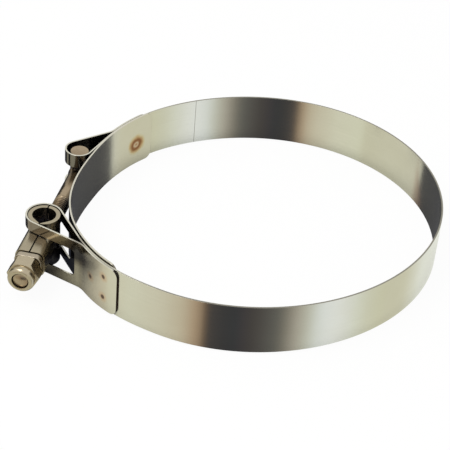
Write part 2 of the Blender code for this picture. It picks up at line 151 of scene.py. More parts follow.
# Thread, M6 x 1
THREAD_START = 0.0205
THREAD_PITCH = 0.0010
THREAD_DEPTH = 0.00052
THREAD_STEPS = 10
THREAD_SIDES = 48
THREAD_RUN_IN = 1.5
THREAD_CREST = 0.12
THREAD_FLANK = 0.80
PLAIN_SHANK_END = 0.0140

# Marks of the spot welds
DIMPLE_RADIUS = 0.0011
DIMPLE_DEPTH = 0.00014
BRIDGE_WELD_ANGLE = math.radians(139.4)
BRIDGE_WELD_HEIGHT = 0.0080
BRIDGE_DIMPLE_RADIUS = 0.0014
BRIDGE_DIMPLE_DEPTH = 0.00012
BALL_SEGMENTS = 160
BALL_RINGS = 320
BALL_CAP = 0.985

# Where the photograph differs from the source: the bolt ends almost level with the nut and fills
# its bore, the leg bends more gently where it lands on the ring, and the tube's seam is wider
BOLT_END_DRAWN_ON = 0.0015
BOLT_END_RADIUS = 0.0025
NUT_BORE_GAP = 0.0001
NUT_LIP_RADIUS = 0.00299
NUT_LIP_DEPTH = 0.00025
LANDING_BEND_RADIUS = 0.0080
SEAM_DRAWN_WIDTH = 0.0005

# Thin end faces of the band and the bridge, as mark_cut_ends finds them; their dark colour is
# painted shade
CUT_END_LOOK_IN = 0.001
CUT_END_BEFORE = 0.0001
CUT_END_CORNER_SHARE = 0.9
CUT_END_ASIDE = 0.00034
CUT_END_FACING = -0.3

# Places and reach of the painted shade, the weld tints, the darker edges and the scored line. The
# bolt's are from its head's axis
# Painted shade on the bolt, by its head's loop and along the thread towards the trunnion
NECK_SHADED_AT = 0.0050
THREAD_SHADED_AT = 0.0310
BOLT_SHADE_REACH = 0.011
# Painted shade: a dark patch on the strap beside the tube, for the tube's shadow and dark reflection
TUBE_SHADE_INSIDE_WINDOW = -0.0012
TUBE_SHADE_HEIGHT = 0.0148
TUBE_SHADE_REACH = 0.0062
STRAP_WELD_REACH = 0.0024
BRIDGE_WELD_REACH = 0.0048
NUT_LOOP_REACH = 0.045
HEAD_LOOP_REACH = 0.016
MARK_SPECKS = 1.5
MARK_DETAIL = 5.0
MARK_WOBBLE = 0.17
SCORE_ANGLE = math.radians(114.1)
SCORE_HALF_WIDTH = (0.00006, 0.00016)
SCORE_STRENGTH = 0.75
# Darker colour on the band's top and bottom edge faces, away from the gap
DARK_EDGES_FROM = (-0.052, -0.030)
DARK_EDGES_STRENGTH = 0.85
WALL_OR_EDGE = (0.8, 0.4)
# Painted shade: the steel's colour darkens in crevices, by ambient occlusion
CREVICE_REACH = 0.010
CREVICE_RANGE = (0.15, 0.48)
CREVICE_SAMPLES = 8

# Grain of the steels, as the noise's scale along X, Y and Z, and the noise itself
ROLLED = (45.0, 45.0, 5200.0)
DULL_ROLLED = (900.0, 900.0, 900.0)
PRESSED = (300.0, 300.0, 1600.0)
MACHINED = (700.0, 2600.0, 700.0)
GRAIN_NOISE = {"Scale": 1.0, "Detail": 6.0, "Roughness": 0.65}
CLOUD_NOISE = {"Scale": 90.0, "Detail": 3.0, "Roughness": 0.55}
GRAIN_RANGE = (0.30, 0.62)
CLOUD_RANGE = (-0.4, 1.0)
HANDLED_GREEN = 1.15
HANDLED_BLUE = 1.5
ROUGHNESS_SPREAD = 0.25
CLOUD_ROUGHNESS = (-0.02, 0.03)
GRAIN_RELIEF = 0.00002

MID_HEIGHT = BAND_WIDTH / 2
HEAD_LOOP_BORE = HEAD_RADIUS + SEAT + HEAD_SLACK
TRUNNION_LOOP_BORE = TRUNNION_RADIUS + SEAT
HEAD_LENGTH = BAND_WIDTH - 2 * HEAD_INSET
TRUNNION_HEIGHT = BAND_WIDTH - 2 * TRUNNION_INSET
TUBE_CORNER = TUBE_BEND + TRUNNION_WALL
NUT_LENGTH = NUT_HEX_LENGTH + NUT_COLLAR_LENGTH
NUT_START = TUBE_LENGTH + SEAT + WASHER_THICKNESS + SEAT
BOLT_REACH = BOLT_LENGTH - HEAD_RADIUS
HEAD_TO_TRUNNION = BOLT_REACH + NUT_PROUD - NUT_START - NUT_LENGTH
BOLT_DIRECTION = Vector((-math.sin(BOLT_TILT), -math.cos(BOLT_TILT)))


def smooth_step(share):
    share = min(max(share, 0.0), 1.0)
    return share * share * (3 - 2 * share)


def unit(angle):
    return Vector((math.cos(angle), math.sin(angle)))


def left_of(direction):
    return Vector((-direction.y, direction.x))


def turned(vector, angle):
    c, s = math.cos(angle), math.sin(angle)
    return Vector((c * vector.x - s * vector.y, s * vector.x + c * vector.y))


def oval_radius(angle):
    return RING_RADIUS * (1 + OUT_OF_ROUND * math.cos(2 * (angle - LONG_AXIS_ANGLE)))


def head_end_shift(angle):
    return -HEAD_END_PULL * smooth_step((angle - HEAD_END_START) / HEAD_END_SPAN)


def nut_end_shift(angle):
    return NUT_END_PUSH * smooth_step((NUT_END_START - angle) / NUT_END_SPAN)


def band_radius(angle):
    turn = angle % math.tau
    shift = head_end_shift(turn) if turn < math.pi else nut_end_shift(turn)
    return oval_radius(angle) + shift


def bridge_radius(angle):
    share = smooth_step((angle - BRIDGE_CROSS_START) / BRIDGE_CROSS_SPAN)
    shift = head_end_shift(angle) * (1 - share) + nut_end_shift(angle) * share
    return oval_radius(angle) + shift - BAND_THICKNESS - SEAT


def on_curve(radius_at, angle, offset):
    ahead = unit(angle + DIRECTION_STEP) * radius_at(angle + DIRECTION_STEP)
    behind = unit(angle - DIRECTION_STEP) * radius_at(angle - DIRECTION_STEP)
    outward = -left_of((ahead - behind).normalized())
    return unit(angle) * radius_at(angle) + outward * offset, outward


def band_middle(angle, layer=0.0):
    return on_curve(band_radius, angle, layer - BAND_THICKNESS / 2)


def tangent_angle(centre, radius, side):
    """Where a straight leg leaves the ring to touch the side of a loop that faces the ring."""
    near = math.atan2(centre.y, centre.x)
    far = near + side * LEG_SEARCH
    for _ in range(LEG_SEARCH_ROUNDS):
        middle = (near + far) / 2
        point, outward = band_middle(middle)
        if (centre - point).dot(outward) > radius:
            near = middle
        else:
            far = middle
    return near


def lap_end_angle(start, length, side):
    angle, covered = start, 0.0
    point = band_middle(angle)[0]
    step = side * LAP_SEARCH_STEP
    while covered < length:
        angle += step
        following = band_middle(angle)[0]
        covered += (following - point).length
        point = following
    return angle


def curve_run(radius_at, offset, start, end):
    count = max(2, math.ceil(abs(end - start) / RING_STEP))
    sign = -1 if end > start else 1
    run = []
    for k in range(count + 1):
        point, outward = on_curve(radius_at, start + (end - start) * k / count, offset)
        run.append((point, outward * sign))
    return run


def arc_run(centre, start, end, turn):
    first = start - centre
    last = end - centre
    sweep = math.atan2(last.y, last.x) - math.atan2(first.y, first.x)
    sweep = turn * ((turn * sweep) % math.tau)
    count = max(2, math.ceil(abs(sweep) / BEND_STEP))
    run = []
    for k in range(count + 1):
        spoke = turned(first, sweep * k / count)
        run.append((centre + spoke, -turn * spoke.normalized()))
    return run


def crossing_line(centre_a, radius_a, turn_a, centre_b, radius_b, turn_b):
    between = centre_b - centre_a
    shift = turn_b * radius_b - turn_a * radius_a
    direction = unit(math.atan2(between.y, between.x) - math.asin(shift / between.length))
    side = left_of(direction)
    return centre_a - side * turn_a * radius_a, centre_b - side * turn_b * radius_b


def joined(*runs):
    track = []
    for run in runs:
        for point, side in run:
            if track and (point - track[-1][0]).length < SAME_POINT:
                continue
            so_far = track[-1][2] + (point - track[-1][0]).length if track else 0.0
            track.append((point, side, so_far))
    return track


def at_distance(track, distance):
    for (p0, n0, d0), (p1, n1, d1) in zip(track, track[1:]):
        if distance <= d1 + SAME_DISTANCE:
            share = (distance - d0) / (d1 - d0)
            return p0.lerp(p1, share), n0.lerp(n1, share).normalized()
    return track[-1][0], track[-1][1]


def rounded_inset(distance, corner):
    if distance >= corner:
        return 0.0
    return corner - math.sqrt(max(corner ** 2 - (corner - distance) ** 2, 0.0))


def corner_distances(corner):
    quarter = math.pi / 2
    return [corner * (1 - math.cos(quarter * k / CORNER_STEPS)) for k in range(CORNER_STEPS + 1)]


def head_loop_centre():
    angle = HEAD_LOOP_ANGLE
    return unit(angle) * (band_radius(angle) + HEAD_LOOP_BORE + BAND_THICKNESS + HEAD_LOOP_RISE)


def head_axis():
    return head_loop_centre() + turned(BOLT_DIRECTION, HEAD_SLACK_TURN) * HEAD_SLACK


def trunnion_axis():
    return head_axis() + BOLT_DIRECTION * HEAD_TO_TRUNNION


def trunnion_leg_angle():
    return tangent_angle(trunnion_axis(), TRUNNION_LOOP_BORE + BAND_THICKNESS / 2, 1)


def band_track():
    """The blank's middle line, from the trunnion's fold-back round to the T-bolt's."""
    layer = BAND_THICKNESS + FOLD_GAP
    loop_a = trunnion_axis()
    radius_a = TRUNNION_LOOP_BORE + BAND_THICKNESS / 2
    loop_b = head_loop_centre()
    radius_b = HEAD_LOOP_BORE + BAND_THICKNESS / 2

    land_a = math.atan2(loop_a.y, loop_a.x) + TRUNNION_FOLD_SPREAD
    end_a = lap_end_angle(land_a, FOLD_LAP, 1)
    lap_a = curve_run(band_radius, layer - BAND_THICKNESS / 2, end_a, land_a)
    foot_a, outward_a = band_middle(land_a, layer)
    bend_a = foot_a + outward_a * LANDING_BEND_RADIUS
    out_a, in_a = crossing_line(bend_a, LANDING_BEND_RADIUS, 1, loop_a, radius_a, -1)
    leave_a = tangent_angle(loop_a, radius_a, 1)
    normal_a = band_middle(leave_a)[1]
    back_a = loop_a - normal_a * radius_a

    leave_b = tangent_angle(loop_b, radius_b, -1)
    normal_b = band_middle(leave_b)[1]
    back_b = loop_b - normal_b * radius_b
    land_b = HEAD_LOOP_ANGLE - HEAD_FOLD_SPREAD
    end_b = lap_end_angle(land_b, FOLD_LAP, -1)
    foot_b, outward_b = band_middle(land_b, layer)
    bend_b = foot_b + outward_b * FOLD_BEND_RADIUS
    out_b, in_b = crossing_line(loop_b, radius_b, -1, bend_b, FOLD_BEND_RADIUS, 1)
    lap_b = curve_run(band_radius, layer - BAND_THICKNESS / 2, land_b, end_b)

    ring = curve_run(band_radius, -BAND_THICKNESS / 2, leave_a, leave_b)
    track = joined(lap_a, arc_run(bend_a, foot_a, out_a, 1), arc_run(loop_a, in_a, back_a, -1), ring,
                   arc_run(loop_b, back_b, out_b, -1), arc_run(bend_b, in_b, foot_b, 1), lap_b)

    def reached(point):
        return min(track, key=lambda entry: (entry[0] - point).length)[2]

    windows = [
        (reached(in_a) - TUBE_WINDOW_OUTER_LEG, reached(back_a) + TUBE_WINDOW_INNER_LEG,
         TUBE_HEIGHT + 2 * TUBE_WINDOW_MARGIN),
        (reached(back_b) - SHANK_WINDOW_INNER_LEG, reached(out_b) + SHANK_WINDOW_OUTER_LEG,
         2 * (BOLT_RADIUS + SHANK_WINDOW_MARGIN)),
    ]
    return track, windows


def made_object(name, mesh):
    bmesh.ops.recalc_face_normals(mesh, faces=mesh.faces)
    data = bpy.data.meshes.new(name)
    mesh.to_mesh(data)
    mesh.free()
    made = bpy.data.objects.new(name, data)
    bpy.context.scene.collection.objects.link(made)
    return made


def strip(name, track, thickness, low, high, corner, windows):
    """Bend a flat blank along the track, with rounded ends and windows."""
    length = track[-1][2]
    marks = {round(d, 7) for _, _, d in track}
    for d in corner_distances(corner):
        marks |= {round(d, 7), round(length - d, 7)}
    for start, end, _ in windows:
        for d in corner_distances(WINDOW_CORNER):
            marks |= {round(start + d, 7), round(end - d, 7)}
    stations = []
    for mark in sorted(m for m in marks if 0 <= m <= length):
        if not stations or mark - stations[-1] > SAME_STATION:
            stations.append(mark)
    stations[-1] = length

    mesh = bmesh.new()
    rows = []
    for d in stations:
        point, side = at_distance(track, d)
        inset = rounded_inset(min(d, length - d), corner)
        bottom, top = low + inset, high - inset
        levels = [bottom, bottom + (top - bottom) / 3, top - (top - bottom) / 3, top]
        for start, end, height in windows:
            if start - AT_WINDOW <= d <= end + AT_WINDOW:
                from_end = max(min(d - start, end - d), 0.0)
                half = height / 2 - rounded_inset(from_end, WINDOW_CORNER)
                levels[1] = (low + high) / 2 - half
                levels[2] = (low + high) / 2 + half
        faces = []
        for hand in (-1, 1):
            spot = point + side * hand * thickness / 2
            faces.append([mesh.verts.new((spot.x, spot.y, z)) for z in levels])
        rows.append(faces)

    def window_over(d0, d1):
        return any(start - AT_WINDOW <= d0 and d1 <= end + AT_WINDOW for start, end, _ in windows)

    is_open = [window_over(d0, d1) for d0, d1 in zip(stations, stations[1:])]
    for k, (here, there) in enumerate(zip(rows, rows[1:])):
        bands = (0, 2) if is_open[k] else (0, 1, 2)
        for face in (0, 1):
            for band in bands:
                mesh.faces.new((here[face][band], there[face][band],
                                there[face][band + 1], here[face][band + 1]))
        for level in (0, 1, 2, 3) if is_open[k] else (0, 3):
            mesh.faces.new((here[0][level], there[0][level], there[1][level], here[1][level]))
    before = [True] + is_open
    after = is_open + [True]
    for k, row in enumerate(rows):
        at_end = k in (0, len(rows) - 1)
        for band in (0, 1, 2) if at_end else (1,):
            if at_end or before[k] != after[k]:
                mesh.faces.new((row[0][band], row[0][band + 1], row[1][band + 1], row[1][band]))
    return made_object(name, mesh)


def prism(name, outline, low, high, matrix=None):
    """Raise a flat outline from low to high, then place it."""
    mesh = bmesh.new()
    base = mesh.faces.new([mesh.verts.new((x, y, low)) for x, y in outline])
    swept = bmesh.ops.extrude_face_region(mesh, geom=[base])["geom"]
    raised = [v for v in swept if isinstance(v, bmesh.types.BMVert)]
    bmesh.ops.translate(mesh, vec=(0, 0, high - low), verts=raised)
    if matrix:
        bmesh.ops.transform(mesh, matrix=matrix, verts=mesh.verts)
    return made_object(name, mesh)


def lathe(name, profile, sides, matrix, radius_at=None):
    """Turn a closed profile of (radius, height) pairs round Z. radius_at may cut a thread in it."""
    mesh = bmesh.new()
    rings = []
    for radius, height in profile:
        if radius < ON_AXIS:
            rings.append([mesh.verts.new((0, 0, height))] * sides)
            continue
        ring = []
        for k in range(sides):
            out = radius_at(radius, height, k / sides) if radius_at else radius
            ring.append(mesh.verts.new((*(unit(math.tau * k / sides) * out), height)))
        rings.append(ring)
    following = rings[1:] if profile[0][0] < ON_AXIS else rings[1:] + rings[:1]
    for here, there in zip(rings, following):
        for k in range(sides):
            nxt = (k + 1) % sides
            corners = [here[k], here[nxt], there[nxt], there[k]]
            mesh.faces.new(list(dict.fromkeys(corners)))
    bmesh.ops.transform(mesh, matrix=matrix, verts=mesh.verts)
    return made_object(name, mesh)


def applied(piece):
    """Put the modifiers' result in the piece's own mesh."""
    graph = bpy.context.evaluated_depsgraph_get()
    result = bpy.data.meshes.new_from_object(piece.evaluated_get(graph))
    piece.modifiers.clear()
    piece.data = result
    return piece


def shape_with(target, other, operation):
    change = target.modifiers.new(other.name, "BOOLEAN")
    change.operation = operation
    change.solver = "EXACT"
    change.object = other
    applied(target)
    bpy.data.objects.remove(other, do_unlink=True)


def eased(piece, width, segments=2):
    """Round the sharp edges, and shade so that the large faces keep their own direction."""
    bevel = piece.modifiers.new("edges", "BEVEL")
    bevel.limit_method = "ANGLE"
    bevel.angle_limit = SMOOTH_ANGLE
    bevel.width = width
    bevel.segments = segments
    bevel.use_clamp_overlap = True
    applied(piece)
    piece.data.shade_smooth()
    weighted = piece.modifiers.new("shading", "WEIGHTED_NORMAL")
    weighted.mode = "FACE_AREA"
    weighted.weight = FLAT_FACE_WEIGHT
    weighted.thresh = FLAT_FACE_THRESHOLD
    applied(piece)
    return piece


def circle(radius, sides, start=0.0):
    return [unit(start + math.tau * k / sides) * radius for k in range(sides)]


def rounded_rectangle(width, height, corner):
    outline = []
    for quadrant in range(4):
        middle = math.radians(45 + 90 * quadrant)
        x = math.copysign(width / 2 - corner, math.cos(middle))
        y = math.copysign(height / 2 - corner, math.sin(middle))
        for k in range(CORNER_STEPS + 1):
            angle = math.radians(90) * (quadrant + k / CORNER_STEPS)
            outline.append(Vector((x, y)) + unit(angle) * corner)
    return outline


def down_bolt(distance):
    return Matrix.Translation((0, -distance, 0)) @ Matrix.Rotation(math.radians(90), 4, "X")


def placed(piece, origin, turn=0.0):
    piece.data.transform(Matrix.Translation(origin) @ Matrix.Rotation(turn, 4, "Z"))
    return piece


def dimple(piece, place, outward, radius=DIMPLE_RADIUS, depth=DIMPLE_DEPTH):
    """Press a shallow round mark into a face."""
    ball = (radius ** 2 + depth ** 2) / (2 * depth)
    mesh = bmesh.new()
    bmesh.ops.create_uvsphere(mesh, u_segments=BALL_SEGMENTS, v_segments=BALL_RINGS, radius=ball)
    away = [v for v in mesh.verts if v.co.z > -ball * BALL_CAP]
    bmesh.ops.delete(mesh, geom=away, context="VERTS")
    rim = [e for e in mesh.edges if e.is_boundary]
    bmesh.ops.contextual_create(mesh, geom=rim)
    turn = Vector((0, 0, 1)).rotation_difference(outward).to_matrix().to_4x4()
    bmesh.ops.transform(mesh, matrix=Matrix.Translation(place + outward * (ball - depth)) @ turn,
                        verts=mesh.verts)
    shape_with(piece, made_object("press", mesh), "DIFFERENCE")


TRACK, WINDOWS = band_track()
HEAD_PLACE = head_axis().to_3d() + Vector((0, 0, MID_HEIGHT))
TRUNNION_PLACE = trunnion_axis().to_3d() + Vector((0, 0, MID_HEIGHT))


def strap_welds():
    """Place and outward direction of each mark on the fold-backs' outer faces."""
    length = TRACK[-1][2]
    half_pair = WELD_PAIR_SPACING / 2
    marks = []
    for from_end, rise in ((WELD_PAIR_FROM_END, half_pair), (WELD_PAIR_FROM_END, -half_pair),
                           (WELD_SINGLE_FROM_END, 0.0)):
        for distance in (from_end, length - from_end):
            point, left = at_distance(TRACK, distance)
            spot = point + left * BAND_THICKNESS / 2
            marks.append((Vector((spot.x, spot.y, MID_HEIGHT + rise)), Vector((left.x, left.y, 0))))
    return marks


def bridge_weld():
    point, outward = on_curve(bridge_radius, BRIDGE_WELD_ANGLE, -BRIDGE_THICKNESS)
    return Vector((point.x, point.y, BRIDGE_WELD_HEIGHT)), Vector((-outward.x, -outward.y, 0))


def build_band():
    band = strip("band_strip", TRACK, BAND_THICKNESS, 0.0, BAND_WIDTH, FOLD_CORNER, WINDOWS)
    for place, outward in strap_welds():
        dimple(band, place, outward)
    eased(band, SHEET_EDGE)
    mark_cut_ends(band, TRACK, FOLD_CORNER)
    return band


def build_bridge():
    end = lap_end_angle(trunnion_leg_angle() % math.tau, BRIDGE_TUCK, 1)
    track = joined(curve_run(bridge_radius, -BRIDGE_THICKNESS / 2, BRIDGE_START, end))
    bridge = strip("bridge_tongue", track, BRIDGE_THICKNESS, -BRIDGE_OVERHANG,
                   BAND_WIDTH + BRIDGE_OVERHANG, BRIDGE_CORNER, [])
    dimple(bridge, *bridge_weld(), radius=BRIDGE_DIMPLE_RADIUS, depth=BRIDGE_DIMPLE_DEPTH)
    eased(bridge, SHEET_EDGE)
    mark_cut_ends(bridge, track, BRIDGE_CORNER)
    return bridge


def thread_cut(radius, height, turn):
    """The shank's radius where the thread is rolled in: rounded crests and roots."""
    along = (height - THREAD_START) / THREAD_PITCH
    if along <= 0 or radius < BOLT_RADIUS - SAME_RADIUS:
        return radius
    run_in = smooth_step(along / THREAD_RUN_IN)
    phase = abs(((along - turn) % 1.0) * 2 - 1)
    groove = smooth_step((phase - THREAD_CREST) / THREAD_FLANK)
    return radius - THREAD_DEPTH * groove * run_in


def build_t_bolt():
    half = HEAD_LENGTH / 2
    edge = FORGED_EDGE
    head_profile = [(0, -half)]
    for end in (-1, 1):
        for k in range(HEAD_EDGE_STEPS + 1):
            angle = math.radians(90) * k / HEAD_EDGE_STEPS
            out, up = math.cos(angle), math.sin(angle)
            if end < 0:
                out, up = up, out
            head_profile.append((HEAD_RADIUS - edge + edge * out, end * (half - edge + edge * up)))
    head_profile.append((0, half))
    bolt = lathe("t_bolt_threaded", head_profile, ROUND_SIDES, Matrix.Identity(4))
    neck_start = HEAD_RADIUS - NECK_FLARE
    shank_profile = [(0, 0), (BOLT_RADIUS + NECK_FLARE, 0)]
    for k in range(CORNER_STEPS + 1):
        share = k / CORNER_STEPS
        shank_profile.append((BOLT_RADIUS + NECK_FLARE * (1 - smooth_step(share)),
                              neck_start + (NECK_FLARE + NECK_BLEND) * share))
    shank_profile.append((BOLT_RADIUS, PLAIN_SHANK_END))
    step = THREAD_PITCH / THREAD_STEPS
    reach = BOLT_REACH + BOLT_END_DRAWN_ON
    rows = int((reach - BOLT_END_CHAMFER - THREAD_START) / step)
    shank_profile += [(BOLT_RADIUS, THREAD_START + step * k) for k in range(rows)]
    shank_profile += [(BOLT_END_RADIUS + BOLT_END_EDGE, reach - BOLT_END_EDGE),
                      (BOLT_END_RADIUS, reach), (0, reach)]
    shank = lathe("shank", shank_profile, THREAD_SIDES, down_bolt(0), thread_cut)
    shape_with(bolt, shank, "UNION")
    bolt.data.shade_smooth()
    bolt.data.set_sharp_from_angle(angle=THREAD_SHARP_ANGLE)
    return placed(bolt, HEAD_PLACE, -BOLT_TILT)


def bore_outline():
    bore = TRUNNION_RADIUS - TRUNNION_WALL
    reach = bore + TRUNNION_POINT
    tangent = math.acos(bore / reach)
    first = -math.pi / 2 + tangent
    sweep = math.tau - 2 * tangent
    outline = [Vector((0, -reach))]
    for k in range(ROUND_SIDES + 1):
        outline.append(unit(first + sweep * k / ROUND_SIDES) * bore)
    return outline


def seam_outline():
    beyond = TRUNNION_HEIGHT / 2 + TRUNNION_WALL
    back = 2 * TRUNNION_RADIUS
    front = -TUBE_LENGTH - TRUNNION_WALL
    below = -TUBE_HEIGHT / 2 - SEAM_END
    return [(front, 0.0), (0.0, 0.0), (0.0, below), (-back, below), (-back, -beyond),
            (back, -beyond), (back, beyond), (front, beyond)]


def build_trunnion():
    half = TRUNNION_HEIGHT / 2
    half_side = math.pi / ROUND_SIDES
    body = prism("trunnion_fold", circle(TRUNNION_RADIUS, ROUND_SIDES, half_side), -half, half)
    outer = prism("outer", rounded_rectangle(TUBE_WIDTH, TUBE_HEIGHT, TUBE_CORNER),
                  0.0, TUBE_LENGTH, down_bolt(0))
    shape_with(body, outer, "UNION")
    bore = prism("bore", bore_outline(), -half - TRUNNION_WALL, half + TRUNNION_WALL)
    shape_with(body, bore, "DIFFERENCE")
    inner = prism("inner", rounded_rectangle(TUBE_WIDTH - 2 * TRUNNION_WALL,
                                             TUBE_HEIGHT - 2 * TRUNNION_WALL, TUBE_BEND),
                  0.0, TUBE_LENGTH + TRUNNION_WALL, down_bolt(0))
    shape_with(body, inner, "DIFFERENCE")
    hole = prism("hole", circle(BOLT_RADIUS + BOLT_CLEARANCE, ROUND_SIDES, half_side),
                 -2 * TRUNNION_RADIUS, 0.0, down_bolt(0))
    shape_with(body, hole, "DIFFERENCE")
    quarter = math.radians(90)
    upright = Matrix.Rotation(quarter, 4, "Y") @ Matrix.Rotation(quarter, 4, "Z")
    seam = prism("seam", seam_outline(), -SEAM_DRAWN_WIDTH / 2, SEAM_DRAWN_WIDTH / 2, upright)
    shape_with(body, seam, "DIFFERENCE")
    eased(body, PUNCHED_EDGE)
    return placed(body, TRUNNION_PLACE, -BOLT_TILT)


def build_washer():
    outline = rounded_rectangle(WASHER_WIDTH, WASHER_WIDTH, WASHER_CORNER)
    washer = prism("washer_plate", outline, 0.0, WASHER_THICKNESS, down_bolt(0))
    hole = prism("hole", circle(BOLT_RADIUS + BOLT_CLEARANCE, ROUND_SIDES),
                 -WASHER_THICKNESS, 2 * WASHER_THICKNESS, down_bolt(0))
    shape_with(washer, hole, "DIFFERENCE")
    eased(washer, PUNCHED_EDGE)
    start = TRUNNION_PLACE + (BOLT_DIRECTION * (TUBE_LENGTH + SEAT)).to_3d()
    return placed(washer, start, -BOLT_TILT)


def build_lock_nut():
    across_corners = NUT_FLATS / math.cos(math.radians(30))
    collar = NUT_FLATS / 2 - NUT_COLLAR_STEP
    bore = BOLT_RADIUS + NUT_BORE_GAP
    nut = prism("nut_hexagon", circle(across_corners / 2, 6), 0.0, NUT_LENGTH, down_bolt(0))
    wide = across_corners - NUT_FLATS / 2
    profile = [
        (bore + NUT_LEAD_IN, 0), (NUT_FLATS / 2, 0), (wide, 2 * NUT_CHAMFER),
        (wide, NUT_HEX_LENGTH - 2 * NUT_CHAMFER), (NUT_FLATS / 2, NUT_HEX_LENGTH),
        (collar, NUT_HEX_LENGTH), (collar, NUT_LENGTH - NUT_CHAMFER),
        (collar - NUT_CHAMFER, NUT_LENGTH), (NUT_LIP_RADIUS, NUT_LENGTH),
        (NUT_LIP_RADIUS, NUT_LENGTH - NUT_LIP_DEPTH), (bore, NUT_LENGTH - NUT_LIP_DEPTH),
        (bore, NUT_LEAD_IN),
    ]
    half_side = Matrix.Rotation(math.pi / ROUND_SIDES, 4, "Z")
    shell = lathe("shell", profile, ROUND_SIDES, down_bolt(0) @ half_side)
    shape_with(nut, shell, "INTERSECT")
    eased(nut, NUT_EDGE)
    start = TRUNNION_PLACE + (BOLT_DIRECTION * NUT_START).to_3d()
    return placed(nut, start, -BOLT_TILT)


class Nodes:
    """Short names for building a node tree."""

    def __init__(self, tree):
        self.tree = tree

    def add(self, kind, inputs=None, **settings):
        node = self.tree.nodes.new(kind)
        for key, value in settings.items():
            setattr(node, key, value)
        for key, value in (inputs or {}).items():
            if isinstance(value, bpy.types.NodeSocket):
                self.tree.links.new(value, node.inputs[key])
            else:
                node.inputs[key].default_value = value
        return node

    def ramp(self, factor, stops, smooth="LINEAR"):
        node = self.add("ShaderNodeValToRGB", {"Fac": factor})
        node.color_ramp.interpolation = smooth
        elements = node.color_ramp.elements
        while len(elements) < len(stops):
            elements.new(0.5)
        for element, (place, colour) in zip(elements, stops):
            element.position = place
            element.color = colour
        return node.outputs["Color"]

    def mix(self, factor, a, b, blend="MIX"):
        node = self.add("ShaderNodeMix", data_type="RGBA", blend_type=blend)
        for index, value in ((0, factor), (6, a), (7, b)):
            if isinstance(value, bpy.types.NodeSocket):
                self.tree.links.new(value, node.inputs[index])
            else:
                node.inputs[index].default_value = value
        return node.outputs[2]

    def math(self, operation, *values):
        node = self.add("ShaderNodeMath", operation=operation)
        for index, value in enumerate(values):
            if isinstance(value, bpy.types.NodeSocket):
                self.tree.links.new(value, node.inputs[index])
            else:
                node.inputs[index].default_value = value
        return node.outputs[0]

    def vector(self, operation, a, b=(0, 0, 0), result="Vector"):
        return self.add("ShaderNodeVectorMath", {0: a, 1: b}, operation=operation).outputs[result]

    def grey(self, factor, low, high):
        """From low to high, as the factor goes from 0 to 1."""
        node = self.add("ShaderNodeMapRange", {"Value": factor, "To Min": low, "To Max": high})
        return node.outputs["Result"]

    def share(self, value, first, last, full=1.0):
        """From 0 to full, as the value goes from first to last."""
        node = self.add("ShaderNodeMapRange", {"Value": value, "From Min": first, "From Max": last,
                                               "To Max": full})
        return node.outputs["Result"]


# Tints that darken or colour the steel, from a mark's middle (0) to its rim (1). The weld tints are
# heat marks; the tube's, the loops' and the bolt's tints are painted shade
STRAP_WELD_TINT = [
    (0.00, (0.16, 0.12, 0.11, 1)), (0.26, (0.24, 0.17, 0.15, 1)), (0.40, (0.95, 0.80, 0.70, 1)),
    (0.70, (1.0, 0.92, 0.86, 1)), (1.00, (1, 1, 1, 1)),
]
BRIDGE_WELD_TINT = [
    (0.00, (0.60, 0.30, 0.20, 1)), (0.10, (0.78, 0.56, 0.44, 1)), (0.20, (0.90, 0.76, 0.66, 1)),
    (0.32, (0.50, 0.26, 0.15, 1)), (0.44, (0.36, 0.16, 0.08, 1)), (0.56, (0.58, 0.34, 0.19, 1)),
    (0.72, (0.88, 0.70, 0.50, 1)), (0.86, (0.98, 0.93, 0.82, 1)), (1.00, (1, 1, 1, 1)),
]
# Painted shade beside the tube
TUBE_SHADE = [
    (0.00, (0.10, 0.10, 0.13, 1)), (0.40, (0.16, 0.16, 0.19, 1)), (0.70, (0.60, 0.58, 0.58, 1)),
    (1.00, (1, 1, 1, 1)),
]
# Painted shade on the walls round the trunnion's loop
NUT_LOOP_SHADE = [
    (0.00, (0.30, 0.255, 0.235, 1)), (0.18, (0.34, 0.29, 0.26, 1)), (0.32, (0.54, 0.49, 0.43, 1)),
    (0.50, (0.80, 0.74, 0.68, 1)), (0.72, (0.95, 0.89, 0.86, 1)), (1.00, (1, 1, 1, 1)),
]
# Painted shade on the walls round the T-bolt's loop
HEAD_LOOP_SHADE = [
    (0.00, (0.28, 0.27, 0.27, 1)), (0.40, (0.30, 0.29, 0.28, 1)), (0.60, (0.45, 0.44, 0.42, 1)),
    (1.00, (1, 1, 1, 1)),
]
# Painted shade on the bolt's neck and thread
BOLT_SHADE = [
    (0.00, (0.30, 0.28, 0.25, 1)), (0.60, (0.42, 0.39, 0.34, 1)), (1.00, (1, 1, 1, 1)),
]
# Painted shade in crevices
CREVICE_SHADE = (0.100, 0.100, 0.125, 1)
# Colour of the darker edge faces
DARK_EDGE = (0.20, 0.19, 0.16, 1)
SCORE = (0.16, 0.15, 0.12, 1)


